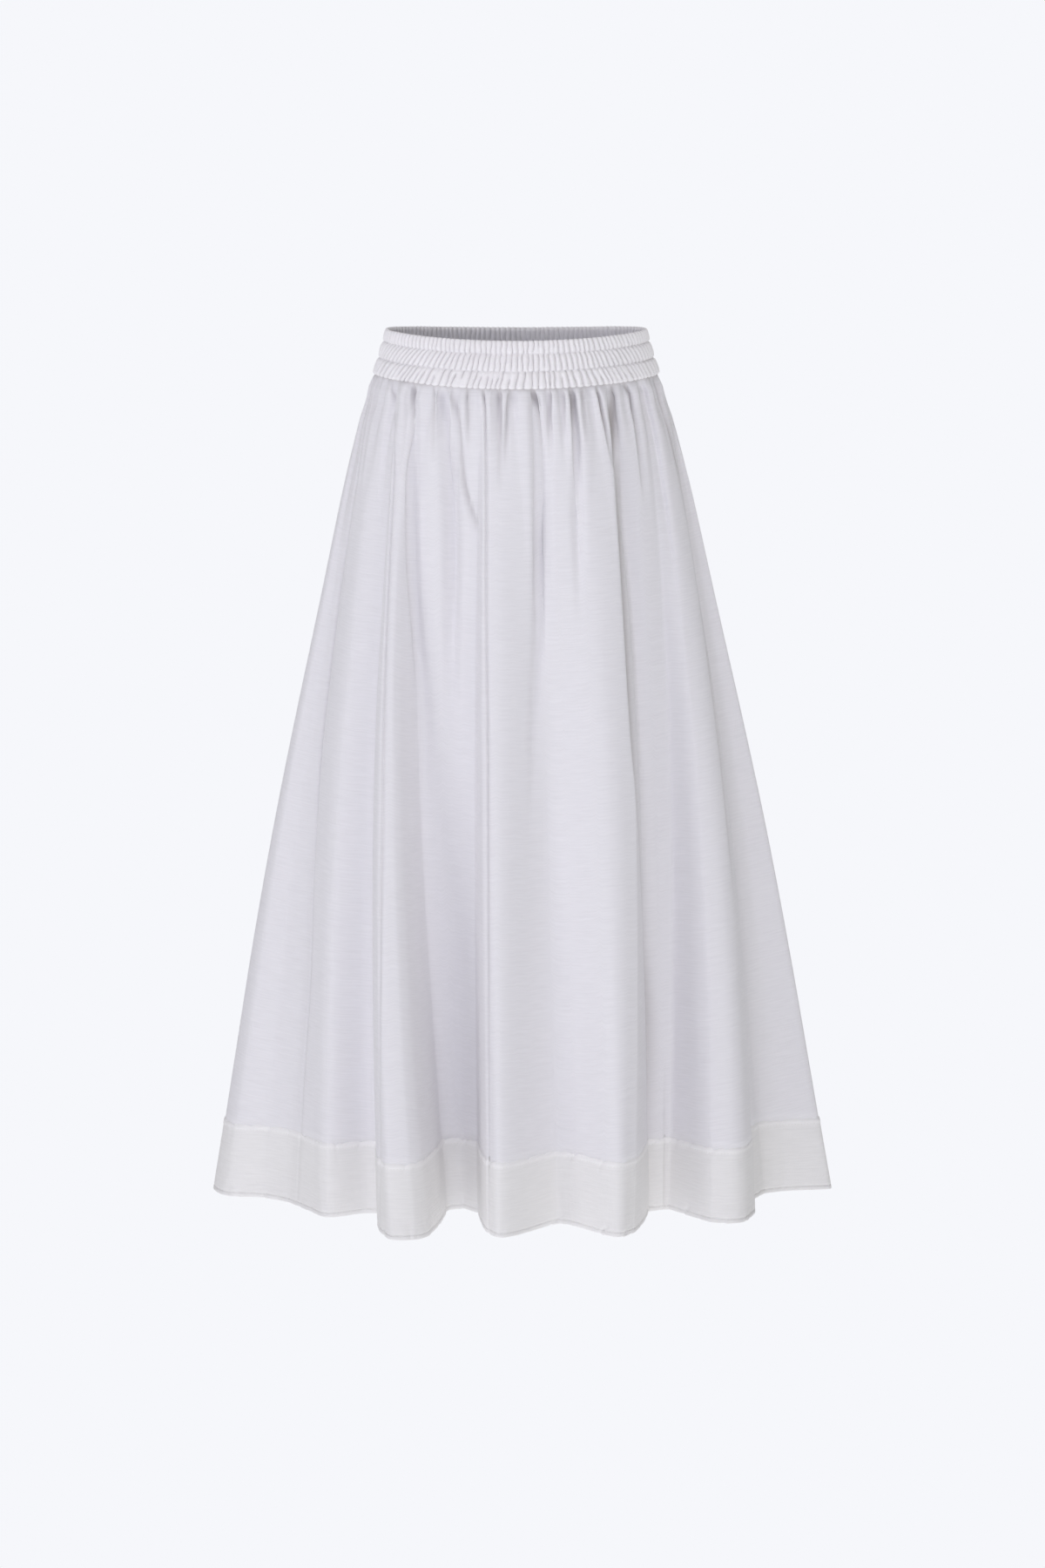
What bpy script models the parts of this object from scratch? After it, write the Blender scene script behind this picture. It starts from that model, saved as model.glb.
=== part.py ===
"""A white flared skirt with a ruched elastic waistband and a deep hem band, as it hangs when it is worn.

Metres, +Z up, the front of the skirt faces -Y. The origin is the middle of the waist, where the wearer holds it.
A turn is an angle in degrees round the skirt: 0 at the middle of the front, 90 at the +X side, 180 at the back.
"""

import math
from collections import namedtuple

import bmesh
import bpy
from mathutils import Vector

# The waistband
RIM_HALF_WIDTH = 0.1305
RIM_HALF_DEPTH = 0.0940
RIM_HEIGHT = 0.0205  # at the sides, above the origin
RIM_DIP = 0.0055  # how much lower the rim is at the front and back
SEAM_HALF_WIDTH = 0.1427
SEAM_HALF_DEPTH = 0.1045
SEAM_HEIGHT = -0.0240
SEAM_DIP = 0.0075
RUCHES = 150
RUCHE_DEPTH = 0.0019

# The skirt below the waist seam
HEM_HALF_WIDTH = 0.3170
HEM_HALF_DEPTH = 0.2150
HEM_HEIGHT = -0.8610
HEM_SHIFT = 0.0063  # the hem hangs this far to +X of the waist
HEM_BAND = 0.0760  # how deep the hem band is
PANEL_WALL = 0.0013
HEM_WALL = 0.0024  # the hem band is two layers
HEM_PROUD = 0.0005
SEAM_GAP = 0.0003
FOLD_GROWTH = 1.10  # a fold's depth grows with this power of the way down
GATHER_DEPTH = 0.0070
GATHER_FADE = 1.5  # a gather's depth fades with this power of the way down its reach
TUCK = 0.0018  # the gathered edge lies this far inside the waistband's outer side
TUCK_REACH = 0.015  # a share of the drop
SEAM_GATHER = 0.35  # how much of their depth the gathers have in the seam

# How many points each wall has round and down
WELD = 1e-6
POINTS_A_GATHER = 4
PANEL_COLUMNS = 110
SIDE_FACE = 1.0  # degrees of the cloth beside a side seam that lie flat
PANEL_DROPS = (0.0, 0.015, 0.05, 0.12, 0.24, 0.42, 0.68, 1.0)

# The waistband from its rim down: the share of its height, how far it stands out of the straight side between the rim
# and the waist seam, and how deep it is ruched. Its two layers of cloth and the elastic between them are one wall.
BandRow = namedtuple("BandRow", "share puff ruche")
BAND_ROWS = (
    BandRow(0.00, -0.0002, 0.40),
    BandRow(0.14, -0.0006, 1.00),
    BandRow(0.28, -0.0026, 0.75),
    BandRow(0.46, -0.0010, 1.00),
    BandRow(0.64, -0.0020, 0.75),
    BandRow(0.69, 0.0008, 0.80),
    BandRow(0.84, 0.0006, 1.00),
    BandRow(1.00, -0.0012, 0.60),
)
BAND_INSIDE_ROWS = (
    BandRow(1.00, -0.0050, 0.0),
    BandRow(0.28, -0.0058, 0.0),
    BandRow(0.10, -0.0040, 0.0),
)

# How the skirt widens below the waist seam: the share of the drop, the share of the widening
Flare = namedtuple("Flare", "drop widening")
FLARES = (
    Flare(0.00, 0.000),
    Flare(0.028, 0.032),
    Flare(0.055, 0.080),
    Flare(0.105, 0.146),
    Flare(0.26, 0.313),
    Flare(0.58, 0.645),
    Flare(1.00, 1.000),
)

# The lines that the folds run down: their turn at the waist seam and at the hem, and how far each lies inside the
# skirt's widest outline at the hem. A crest has a small depth and a trough a large one.
FoldLine = namedtuple("FoldLine", "name seam_turn hem_turn depth")
FRONT_FOLDS = (
    FoldLine("left side", -90.0, -90.0, 0.000),
    FoldLine("left side face", -89.0, -88.4, 0.000),
    FoldLine("left flap edge", -86.5, -80.0, 0.009),
    FoldLine("left flap trough", -84.0, -74.0, 0.042),
    FoldLine("left hollow", -81.0, -62.0, 0.056),
    FoldLine("left slope", -77.5, -50.0, 0.047),
    FoldLine("left crest", -67.0, -43.5, 0.038),
    FoldLine("first trough", -52.4, -33.9, 0.075),
    FoldLine("first fold, left edge", -50.2, -26.4, 0.004),
    FoldLine("first fold, crest", -47.6, -22.5, -0.018),
    FoldLine("first fold, right side", -45.8, -19.0, -0.012),
    FoldLine("first fold, right edge", -44.6, -17.2, 0.010),
    FoldLine("first fold, right wall", -43.6, -17.1, 0.050),
    FoldLine("wide trough, left", -41.8, -18.3, 0.106),
    FoldLine("wide trough, floor", -30.0, -14.9, 0.119),
    FoldLine("wide trough, right", -14.5, -10.6, 0.106),
    FoldLine("middle fold, left edge", -12.0, -6.5, 0.024),
    FoldLine("middle fold, crest", -7.0, -4.0, 0.008),
    FoldLine("middle dip", 7.0, 7.5, 0.062),
    FoldLine("third fold, crest", 28.0, 17.6, 0.001),
    FoldLine("third fold, right edge", 39.4, 21.0, 0.014),
    FoldLine("narrow trough, left", 41.8, 30.5, 0.091),
    FoldLine("narrow trough, right", 60.0, 36.4, 0.090),
    FoldLine("fourth fold, left edge", 65.0, 39.5, 0.022),
    FoldLine("fourth fold, crest", 72.0, 44.5, 0.008),
    FoldLine("fourth fold, right edge", 81.5, 52.0, 0.026),
    FoldLine("right hollow", 84.0, 66.0, 0.066),
    FoldLine("right flap trough", 86.3, 76.0, 0.066),
    FoldLine("right flap, front", 88.0, 84.0, 0.045),
    FoldLine("right flap edge", 89.0, 88.4, 0.000),
    FoldLine("right side", 90.0, 90.0, 0.000),
)
BACK_FOLDS = (
    FoldLine("right side", 90.0, 90.0, 0.000),
    FoldLine("right back flap edge", 91.0, 91.6, 0.000),
    FoldLine("right flap, back", 93.5, 96.5, 0.032),
    FoldLine("right back hollow", 100.0, 106.0, 0.060),
    FoldLine("fifth fold, left edge", 110.0, 118.0, 0.020),
    FoldLine("fifth fold, crest", 116.0, 124.0, 0.004),
    FoldLine("fifth fold, right edge", 124.0, 130.0, 0.018),
    FoldLine("back trough, left", 127.0, 138.0, 0.088),
    FoldLine("back trough, right", 139.0, 144.5, 0.094),
    FoldLine("sixth fold, left edge", 141.0, 148.5, 0.020),
    FoldLine("sixth fold, crest", 150.0, 155.0, -0.006),
    FoldLine("sixth fold, right edge", 157.0, 160.5, 0.016),
    FoldLine("back dip", 168.0, 169.0, 0.070),
    FoldLine("seventh fold, crest", 181.0, 180.0, 0.002),
    FoldLine("seventh fold, right edge", 189.5, 184.5, 0.018),
    FoldLine("back floor, left", 192.0, 189.0, 0.104),
    FoldLine("back floor, right", 206.0, 195.0, 0.110),
    FoldLine("eighth fold, left edge", 208.5, 199.0, 0.016),
    FoldLine("eighth fold, crest", 217.0, 205.0, -0.004),
    FoldLine("eighth fold, right edge", 224.0, 212.0, 0.020),
    FoldLine("last trough", 233.0, 221.0, 0.082),
    FoldLine("ninth fold, crest", 244.0, 233.0, 0.012),
    FoldLine("left back hollow", 257.0, 250.0, 0.052),
    FoldLine("left back flap edge", 265.0, 262.0, 0.016),
    FoldLine("left side face", 269.0, 268.4, 0.000),
    FoldLine("left side", 270.0, 270.0, 0.000),
)

# The small gathers under the waist seam: the turn of each furrow, and how far down it reaches
Gather = namedtuple("Gather", "turn reach")
FRONT_GATHERS = (
    Gather(-90.0, 0.10),
    Gather(-81.0, 0.12),
    Gather(-73.0, 0.16),
    Gather(-65.0, 0.12),
    Gather(-56.5, 0.20),
    Gather(-46.5, 0.26),
    Gather(-37.0, 0.10),
    Gather(-30.5, 0.08),
    Gather(-24.5, 0.16),
    Gather(-16.5, 0.09),
    Gather(-7.5, 0.12),
    Gather(-1.0, 0.08),
    Gather(6.5, 0.34),
    Gather(12.5, 0.09),
    Gather(17.5, 0.10),
    Gather(22.5, 0.24),
    Gather(30.5, 0.10),
    Gather(39.5, 0.28),
    Gather(48.5, 0.10),
    Gather(60.0, 0.20),
    Gather(73.0, 0.12),
    Gather(90.0, 0.14),
)
BACK_GATHERS = (
    Gather(90.0, 0.14),
    Gather(99.0, 0.12),
    Gather(108.0, 0.18),
    Gather(116.0, 0.10),
    Gather(126.0, 0.26),
    Gather(134.0, 0.09),
    Gather(142.0, 0.20),
    Gather(149.5, 0.10),
    Gather(156.0, 0.12),
    Gather(163.0, 0.24),
    Gather(172.0, 0.10),
    Gather(180.5, 0.09),
    Gather(189.0, 0.30),
    Gather(197.0, 0.10),
    Gather(203.0, 0.12),
    Gather(210.5, 0.22),
    Gather(219.0, 0.09),
    Gather(228.0, 0.12),
    Gather(236.0, 0.26),
    Gather(245.0, 0.10),
    Gather(253.5, 0.16),
    Gather(262.0, 0.11),
    Gather(270.0, 0.10),
)

WHITE_COTTON = ("white cotton", (0.84, 0.83, 0.87), 0.85)
WAIST_COTTON = ("ruched cotton", (0.88, 0.86, 0.88), 0.85)
HEM_COTTON = ("double cotton", (0.86, 0.85, 0.87), 0.85)


def clear_scene():
    for item in list(bpy.data.objects):
        bpy.data.objects.remove(item, do_unlink=True)


def mix(start, end, share):
    return start + (end - start) * share


def follow(places, values, at, level_ends=False):
    """A smooth curve through the values, with no overshoot, read at one place."""
    last = len(places) - 1
    i = 0
    while i < last - 1 and at > places[i + 1]:
        i += 1
    slopes = [(values[k + 1] - values[k]) / (places[k + 1] - places[k]) for k in range(last)]

    def tangent(k):
        if k == 0 or k == last:
            return 0.0 if level_ends else slopes[min(k, last - 1)]
        if slopes[k - 1] * slopes[k] <= 0:
            return 0.0
        return 2 * slopes[k - 1] * slopes[k] / (slopes[k - 1] + slopes[k])

    step = places[i + 1] - places[i]
    s = min(max((at - places[i]) / step, 0.0), 1.0)
    start, end = values[i], values[i + 1]
    return (
        start * (1 + 2 * s) * (1 - s) ** 2
        + end * s * s * (3 - 2 * s)
        + step * s * (1 - s) * (tangent(i) * (1 - s) - tangent(i + 1) * s)
    )


def ellipse_point(turn, half_width, half_depth):
    angle = math.radians(turn)
    return Vector((half_width * math.sin(angle), -half_depth * math.cos(angle), 0.0))


def ellipse_outward(turn, half_width, half_depth):
    angle = math.radians(turn)
    return Vector((math.sin(angle) / half_width, -math.cos(angle) / half_depth, 0.0)).normalized()


def front_and_back(turn):
    """1 at the middle of the front and of the back, 0 at the sides."""
    return math.cos(math.radians(turn)) ** 2


def seam_height(turn):
    return SEAM_HEIGHT - SEAM_DIP * front_and_back(turn)


class Cloth:
    """Half of the skirt's cloth, from the waist seam to the hem, as a surface of a seam turn and a share of the drop."""

    def __init__(self, folds, gathers, side_seam):
        self.side_seam = side_seam  # where the panel's edges lie along Y
        self.seam_turns = [line.seam_turn for line in folds]
        self.hem_turns = [line.hem_turn for line in folds]
        self.depths = [line.depth for line in folds]
        self.furrows = [gather.turn for gather in gathers]
        self.reaches = [gather.reach for gather in gathers]
        self.columns = self.spread_columns()

    def furrow_phase(self, seam_turn):
        """Counts the gathers up to a turn, a whole number at each furrow."""
        i = 0
        while i < len(self.furrows) - 2 and seam_turn > self.furrows[i + 1]:
            i += 1
        return i + (seam_turn - self.furrows[i]) / (self.furrows[i + 1] - self.furrows[i])

    def gather(self, seam_turn, drop):
        """How far a gather stands out of its furrows: pressed flat in the seam, then fading down its reach."""
        reach = follow(self.furrows, self.reaches, seam_turn)
        fade = max(0.0, 1.0 - drop / reach) ** GATHER_FADE
        pressed = max(0.0, 1.0 - drop / TUCK_REACH)
        wave = -0.5 * math.cos(2 * math.pi * self.furrow_phase(seam_turn))
        return GATHER_DEPTH * fade * mix(1.0, SEAM_GATHER, pressed) * wave - TUCK * pressed

    def point(self, seam_turn, drop, proud=0.0):
        widening = follow([row.drop for row in FLARES], [row.widening for row in FLARES], drop)
        hem_turn = follow(self.seam_turns, self.hem_turns, seam_turn)
        depth = follow(self.seam_turns, self.depths, seam_turn, level_ends=True) * drop**FOLD_GROWTH
        turn = mix(seam_turn, hem_turn, widening)
        half_width = mix(SEAM_HALF_WIDTH, HEM_HALF_WIDTH, widening)
        half_depth = mix(SEAM_HALF_DEPTH, HEM_HALF_DEPTH, widening)
        outward = ellipse_outward(turn, half_width, half_depth)
        place = ellipse_point(turn, half_width, half_depth)
        place += outward * (proud + self.gather(seam_turn, drop) - depth)
        place.x += HEM_SHIFT * drop
        place.z = mix(seam_height(seam_turn), HEM_HEIGHT, drop)
        return place

    def edge_point(self, column, drop, proud=0.0):
        """A point of a numbered column, with the columns at the side seams squared to meet the other panel."""
        last = len(self.columns) - 1
        if 0 < column < last:
            return self.point(self.columns[column], drop, proud)
        place = self.point(self.columns[1 if column == 0 else last - 1], drop, proud)
        place.y = self.side_seam
        return place

    def spread_columns(self):
        """Seam turns at each furrow and gather, and then more where the folds of the hem are longest."""
        turns = []
        for i in range(len(self.furrows) - 1):
            for k in range(POINTS_A_GATHER):
                turns.append(mix(self.furrows[i], self.furrows[i + 1], k / POINTS_A_GATHER))
        turns += [self.furrows[-1] - SIDE_FACE, self.furrows[-1]]
        turns.insert(1, self.furrows[0] + SIDE_FACE)
        while len(turns) < PANEL_COLUMNS:
            points = [self.point(turn, 1.0) for turn in turns]
            lengths = [(points[i + 1] - points[i]).length for i in range(len(points) - 1)]
            longest = lengths.index(max(lengths))
            turns.insert(longest + 1, (turns[longest] + turns[longest + 1]) / 2)
        return turns


def sheet(columns, rows, place):
    """A grid of cloth, with its point of each column and row at place(column, row)."""
    mesh = bmesh.new()
    bmesh.ops.create_grid(mesh, x_segments=columns - 1, y_segments=rows - 1, size=1.0)
    for corner in mesh.verts:
        column = round((corner.co.x + 1) / 2 * (columns - 1))
        row = round((corner.co.y + 1) / 2 * (rows - 1))
        corner.co = place(column, row)
    return mesh


def cotton(look):
    name, colour, roughness = look
    material = bpy.data.materials.new(name)
    material.use_nodes = True
    shader = material.node_tree.nodes["Principled BSDF"]
    shader.inputs["Base Color"].default_value = (*colour, 1.0)
    shader.inputs["Roughness"].default_value = roughness
    return material


def add_piece(name, mesh, material):
    data = bpy.data.meshes.new(name)
    mesh.to_mesh(data)
    mesh.free()
    data.shade_smooth()
    data.materials.append(material)
    piece = bpy.data.objects.new(name, data)
    bpy.context.scene.collection.objects.link(piece)
    return piece


def give_wall(piece, wall):
    """Thickens a sheet inwards."""
    solidify = piece.modifiers.new("Wall", "SOLIDIFY")
    solidify.thickness = wall
    solidify.offset = -1.0
    solidify.use_even_offset = True
    solidify.use_quality_normals = True


def waistband():
    """One tube, ruched on its outer side and plain inside."""
    rows = BAND_ROWS + BAND_INSIDE_ROWS
    columns = 2 * RUCHES

    def wall_point(column, row):
        turn = 360.0 * (column % columns) / columns
        share, puff, ruche = rows[row % len(rows)]
        half_width = mix(RIM_HALF_WIDTH, SEAM_HALF_WIDTH, share)
        half_depth = mix(RIM_HALF_DEPTH, SEAM_HALF_DEPTH, share)
        furrow = RUCHE_DEPTH * ruche * (column % 2)
        place = ellipse_point(turn, half_width, half_depth)
        place += ellipse_outward(turn, half_width, half_depth) * (puff - furrow)
        rim = RIM_HEIGHT - RIM_DIP * front_and_back(turn)
        place.z = mix(rim, seam_height(turn), share)
        return place

    mesh = sheet(columns + 1, len(rows) + 1, wall_point)
    bmesh.ops.remove_doubles(mesh, verts=mesh.verts, dist=WELD)
    bmesh.ops.recalc_face_normals(mesh, faces=mesh.faces)
    add_piece("waistband", mesh, cotton(WAIST_COTTON))


def panel(name, cloth):
    """One of the two gathered panels, from the waist seam to the hem band."""
    last_drop = 1.0 - (HEM_BAND + SEAM_GAP) / (SEAM_HEIGHT - HEM_HEIGHT)

    def wall_point(column, row):
        place = cloth.edge_point(column, PANEL_DROPS[row] * last_drop)
        if row == 0:
            place.z -= SEAM_GAP
        return place

    mesh = sheet(len(cloth.columns), len(PANEL_DROPS), wall_point)
    bmesh.ops.reverse_faces(mesh, faces=mesh.faces)
    piece = add_piece(name, mesh, cotton(WHITE_COTTON))
    give_wall(piece, PANEL_WALL)


def hem_band(name, cloth):
    """The double band that edges one panel."""
    first_drop = 1.0 - HEM_BAND / (SEAM_HEIGHT - HEM_HEIGHT)

    def wall_point(column, row):
        return cloth.edge_point(column, mix(first_drop, 1.0, row), HEM_PROUD)

    mesh = sheet(len(cloth.columns), 2, wall_point)
    bmesh.ops.reverse_faces(mesh, faces=mesh.faces)
    piece = add_piece(name, mesh, cotton(HEM_COTTON))
    give_wall(piece, HEM_WALL)


clear_scene()
front_cloth = Cloth(FRONT_FOLDS, FRONT_GATHERS, side_seam=-SEAM_GAP / 2)
back_cloth = Cloth(BACK_FOLDS, BACK_GATHERS, side_seam=SEAM_GAP / 2)
waistband()
panel("front_panel", front_cloth)
panel("back_panel", back_cloth)
hem_band("hem_band_front", front_cloth)
hem_band("hem_band_back", back_cloth)
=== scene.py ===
"""The white flared skirt with its ruches, gathers, creases, seams and stitches, in a plain pale studio.

Metres, +Z up, the front of the skirt faces -Y. A turn is an angle in degrees round the skirt: 0 at the
middle of the front, 90 at the +X side, 180 at the back. A drop is the share of the way down from the
waist seam to the hem.
"""

import math
from collections import namedtuple

import bmesh
import bpy
import numpy as np
from mathutils import Matrix, Vector


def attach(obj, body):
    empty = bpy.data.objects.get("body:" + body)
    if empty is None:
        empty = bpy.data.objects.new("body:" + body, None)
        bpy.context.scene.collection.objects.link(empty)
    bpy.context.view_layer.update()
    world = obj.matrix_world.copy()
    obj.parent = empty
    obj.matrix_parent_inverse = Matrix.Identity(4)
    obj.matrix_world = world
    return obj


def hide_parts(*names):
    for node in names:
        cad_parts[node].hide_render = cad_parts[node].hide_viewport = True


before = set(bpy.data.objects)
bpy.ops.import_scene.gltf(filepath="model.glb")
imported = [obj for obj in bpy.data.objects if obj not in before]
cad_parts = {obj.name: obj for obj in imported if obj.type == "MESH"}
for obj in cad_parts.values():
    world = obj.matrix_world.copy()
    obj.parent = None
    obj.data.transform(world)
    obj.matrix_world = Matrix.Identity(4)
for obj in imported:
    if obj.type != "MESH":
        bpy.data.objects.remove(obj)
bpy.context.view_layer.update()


def rows_of(kind, *rows):
    return tuple(kind(*row) for row in rows)


# The waistband
RIM_HALF_WIDTH = 0.1305
RIM_HALF_DEPTH = 0.0940
RIM_HEIGHT = 0.0205  # at the sides
RIM_DIP = 0.0055  # how much lower the rim is at the front and back
SEAM_HALF_WIDTH = 0.1427
SEAM_HALF_DEPTH = 0.1045
SEAM_HEIGHT = -0.0240
SEAM_DIP = 0.0075

# The skirt below the waist seam
HEM_HALF_WIDTH = 0.3170
HEM_HALF_DEPTH = 0.2150
HEM_HEIGHT = -0.8610
HEM_SHIFT = 0.0063  # the hem hangs this far to +X of the waist
LENGTH = SEAM_HEIGHT - HEM_HEIGHT
HEM_BAND = 0.0760
FOLD_GROWTH = 1.10  # the power of the drop with which the folds deepen
GATHER_DEPTH = 0.0070
GATHER_FADE = 1.5  # the power with which the gathers fade out
GATHER_WIDTH = 0.20  # a furrow's width as a share of the way to the next
TUCK = 0.0018  # how far the cloth is pressed in at the waist seam
TUCK_REACH = 0.015  # and over which drop it comes out again
SEAM_GATHER = 0.35  # the share of the gathers' depth that is left in the seam
CLOTH_WALL = 0.0007
SEAM_HOLD = 0.010  # the drop over which the waist seam holds the creases flat
SEAM_REACH = 0.0010  # how deep they still are in it
OVERLAP = 0.0030  # how far a panel goes on inside the waistband
HEM_OVERLAP = 0.0050  # and inside the hem band

# How the skirt widens below the waist seam
Flare = namedtuple("Flare", "drop widening")
FLARES = rows_of(
    Flare,
    (0.00, 0.000), (0.028, 0.032), (0.055, 0.080), (0.105, 0.146), (0.26, 0.313), (0.58, 0.645),
    (1.00, 1.000),
)

# The lines that the folds run down: their turn at the waist seam and at the hem, and how far each lies
# inside the skirt's widest outline at the hem
FoldLine = namedtuple("FoldLine", "name seam_turn hem_turn depth")
FRONT_FOLDS = rows_of(
    FoldLine,
    ("left side", -90.0, -90.0, 0.000),
    ("left side face", -89.0, -88.4, 0.000),
    ("left flap edge", -86.5, -80.0, 0.009),
    ("left flap trough", -84.0, -74.0, 0.042),
    ("left hollow", -81.0, -62.0, 0.056),
    ("left slope", -77.5, -50.0, 0.047),
    ("left crest", -67.0, -43.5, 0.038),
    ("first trough", -52.4, -33.9, 0.075),
    ("first fold, left edge", -50.2, -26.4, 0.004),
    ("first fold, crest", -47.6, -22.5, -0.018),
    ("first fold, right side", -45.8, -19.0, -0.012),
    ("first fold, right edge", -44.6, -17.2, 0.010),
    ("first fold, right wall", -43.6, -17.1, 0.050),
    ("wide trough, left", -41.8, -18.3, 0.106),
    ("wide trough, floor", -30.0, -14.9, 0.119),
    ("wide trough, right", -14.5, -10.6, 0.106),
    ("middle fold, left edge", -12.0, -6.5, 0.024),
    ("middle fold, crest", -7.0, -4.0, 0.008),
    ("middle dip", 7.0, 7.5, 0.062),
    ("third fold, crest", 28.0, 17.6, 0.001),
    ("third fold, right edge", 39.4, 21.0, 0.014),
    ("narrow trough, left", 41.8, 30.5, 0.091),
    ("narrow trough, right", 60.0, 36.4, 0.090),
    ("fourth fold, left edge", 65.0, 39.5, 0.022),
    ("fourth fold, crest", 72.0, 44.5, 0.008),
    ("fourth fold, right edge", 81.5, 52.0, 0.026),
    ("right hollow", 84.0, 66.0, 0.066),
    ("right flap trough", 86.3, 76.0, 0.066),
    ("right flap, front", 88.0, 84.0, 0.045),
    ("right flap edge", 89.0, 88.4, 0.000),
    ("right side", 90.0, 90.0, 0.000),
)
BACK_FOLDS = rows_of(
    FoldLine,
    ("right side", 90.0, 90.0, 0.000),
    ("right back flap edge", 91.0, 91.6, 0.000),
    ("right flap, back", 93.5, 96.5, 0.032),
    ("right back hollow", 100.0, 106.0, 0.060),
    ("fifth fold, left edge", 110.0, 118.0, 0.020),
    ("fifth fold, crest", 116.0, 124.0, 0.004),
    ("fifth fold, right edge", 124.0, 130.0, 0.018),
    ("back trough, left", 127.0, 138.0, 0.088),
    ("back trough, right", 139.0, 144.5, 0.094),
    ("sixth fold, left edge", 141.0, 148.5, 0.020),
    ("sixth fold, crest", 150.0, 155.0, -0.006),
    ("sixth fold, right edge", 157.0, 160.5, 0.016),
    ("back dip", 168.0, 169.0, 0.070),
    ("seventh fold, crest", 181.0, 180.0, 0.002),
    ("seventh fold, right edge", 189.5, 184.5, 0.018),
    ("back floor, left", 192.0, 189.0, 0.104),
    ("back floor, right", 206.0, 195.0, 0.110),
    ("eighth fold, left edge", 208.5, 199.0, 0.016),
    ("eighth fold, crest", 217.0, 205.0, -0.004),
    ("eighth fold, right edge", 224.0, 212.0, 0.020),
    ("last trough", 233.0, 221.0, 0.082),
    ("ninth fold, crest", 244.0, 233.0, 0.012),
    ("left back hollow", 257.0, 250.0, 0.052),
    ("left back flap edge", 265.0, 262.0, 0.016),
    ("left side face", 269.0, 268.4, 0.000),
    ("left side", 270.0, 270.0, 0.000),
)

# The gathers under the waist seam: the turn of each furrow, and how far down it reaches
Gather = namedtuple("Gather", "turn reach")
FRONT_GATHERS = rows_of(
    Gather,
    (-90.0, 0.10), (-81.0, 0.12), (-73.0, 0.16), (-65.0, 0.12), (-56.5, 0.20), (-46.5, 0.26),
    (-37.0, 0.10), (-30.5, 0.08), (-24.5, 0.16), (-16.5, 0.09), (-7.5, 0.12), (-1.0, 0.08),
    (6.5, 0.34), (12.5, 0.09), (17.5, 0.10), (22.5, 0.24), (30.5, 0.10), (39.5, 0.28), (48.5, 0.10),
    (60.0, 0.20), (73.0, 0.12), (90.0, 0.14),
)
BACK_GATHERS = rows_of(
    Gather,
    (90.0, 0.14), (99.0, 0.12), (108.0, 0.18), (116.0, 0.10), (126.0, 0.26), (134.0, 0.09),
    (142.0, 0.20), (149.5, 0.10), (156.0, 0.12), (163.0, 0.24), (172.0, 0.10), (180.5, 0.09),
    (189.0, 0.30), (197.0, 0.10), (203.0, 0.12), (210.5, 0.22), (219.0, 0.09), (228.0, 0.12),
    (236.0, 0.26), (245.0, 0.10), (253.5, 0.16), (262.0, 0.11), (270.0, 0.10),
)

# Creases in the cloth. Each runs along a path of turns, drops and heights: a ridge stands out and a
# trough has a negative height. Left and right are how far it reaches to each side of its path. The
# tables give heights and widths in millimetres.
Crease = namedtuple("Crease", "left right path")
Spot = namedtuple("Spot", "turn drop height")


def crease(left, right, *path):
    spots = tuple(Spot(turn, drop, height / 1000) for turn, drop, height in path)
    return Crease(left / 1000, right / 1000, spots)


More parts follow.
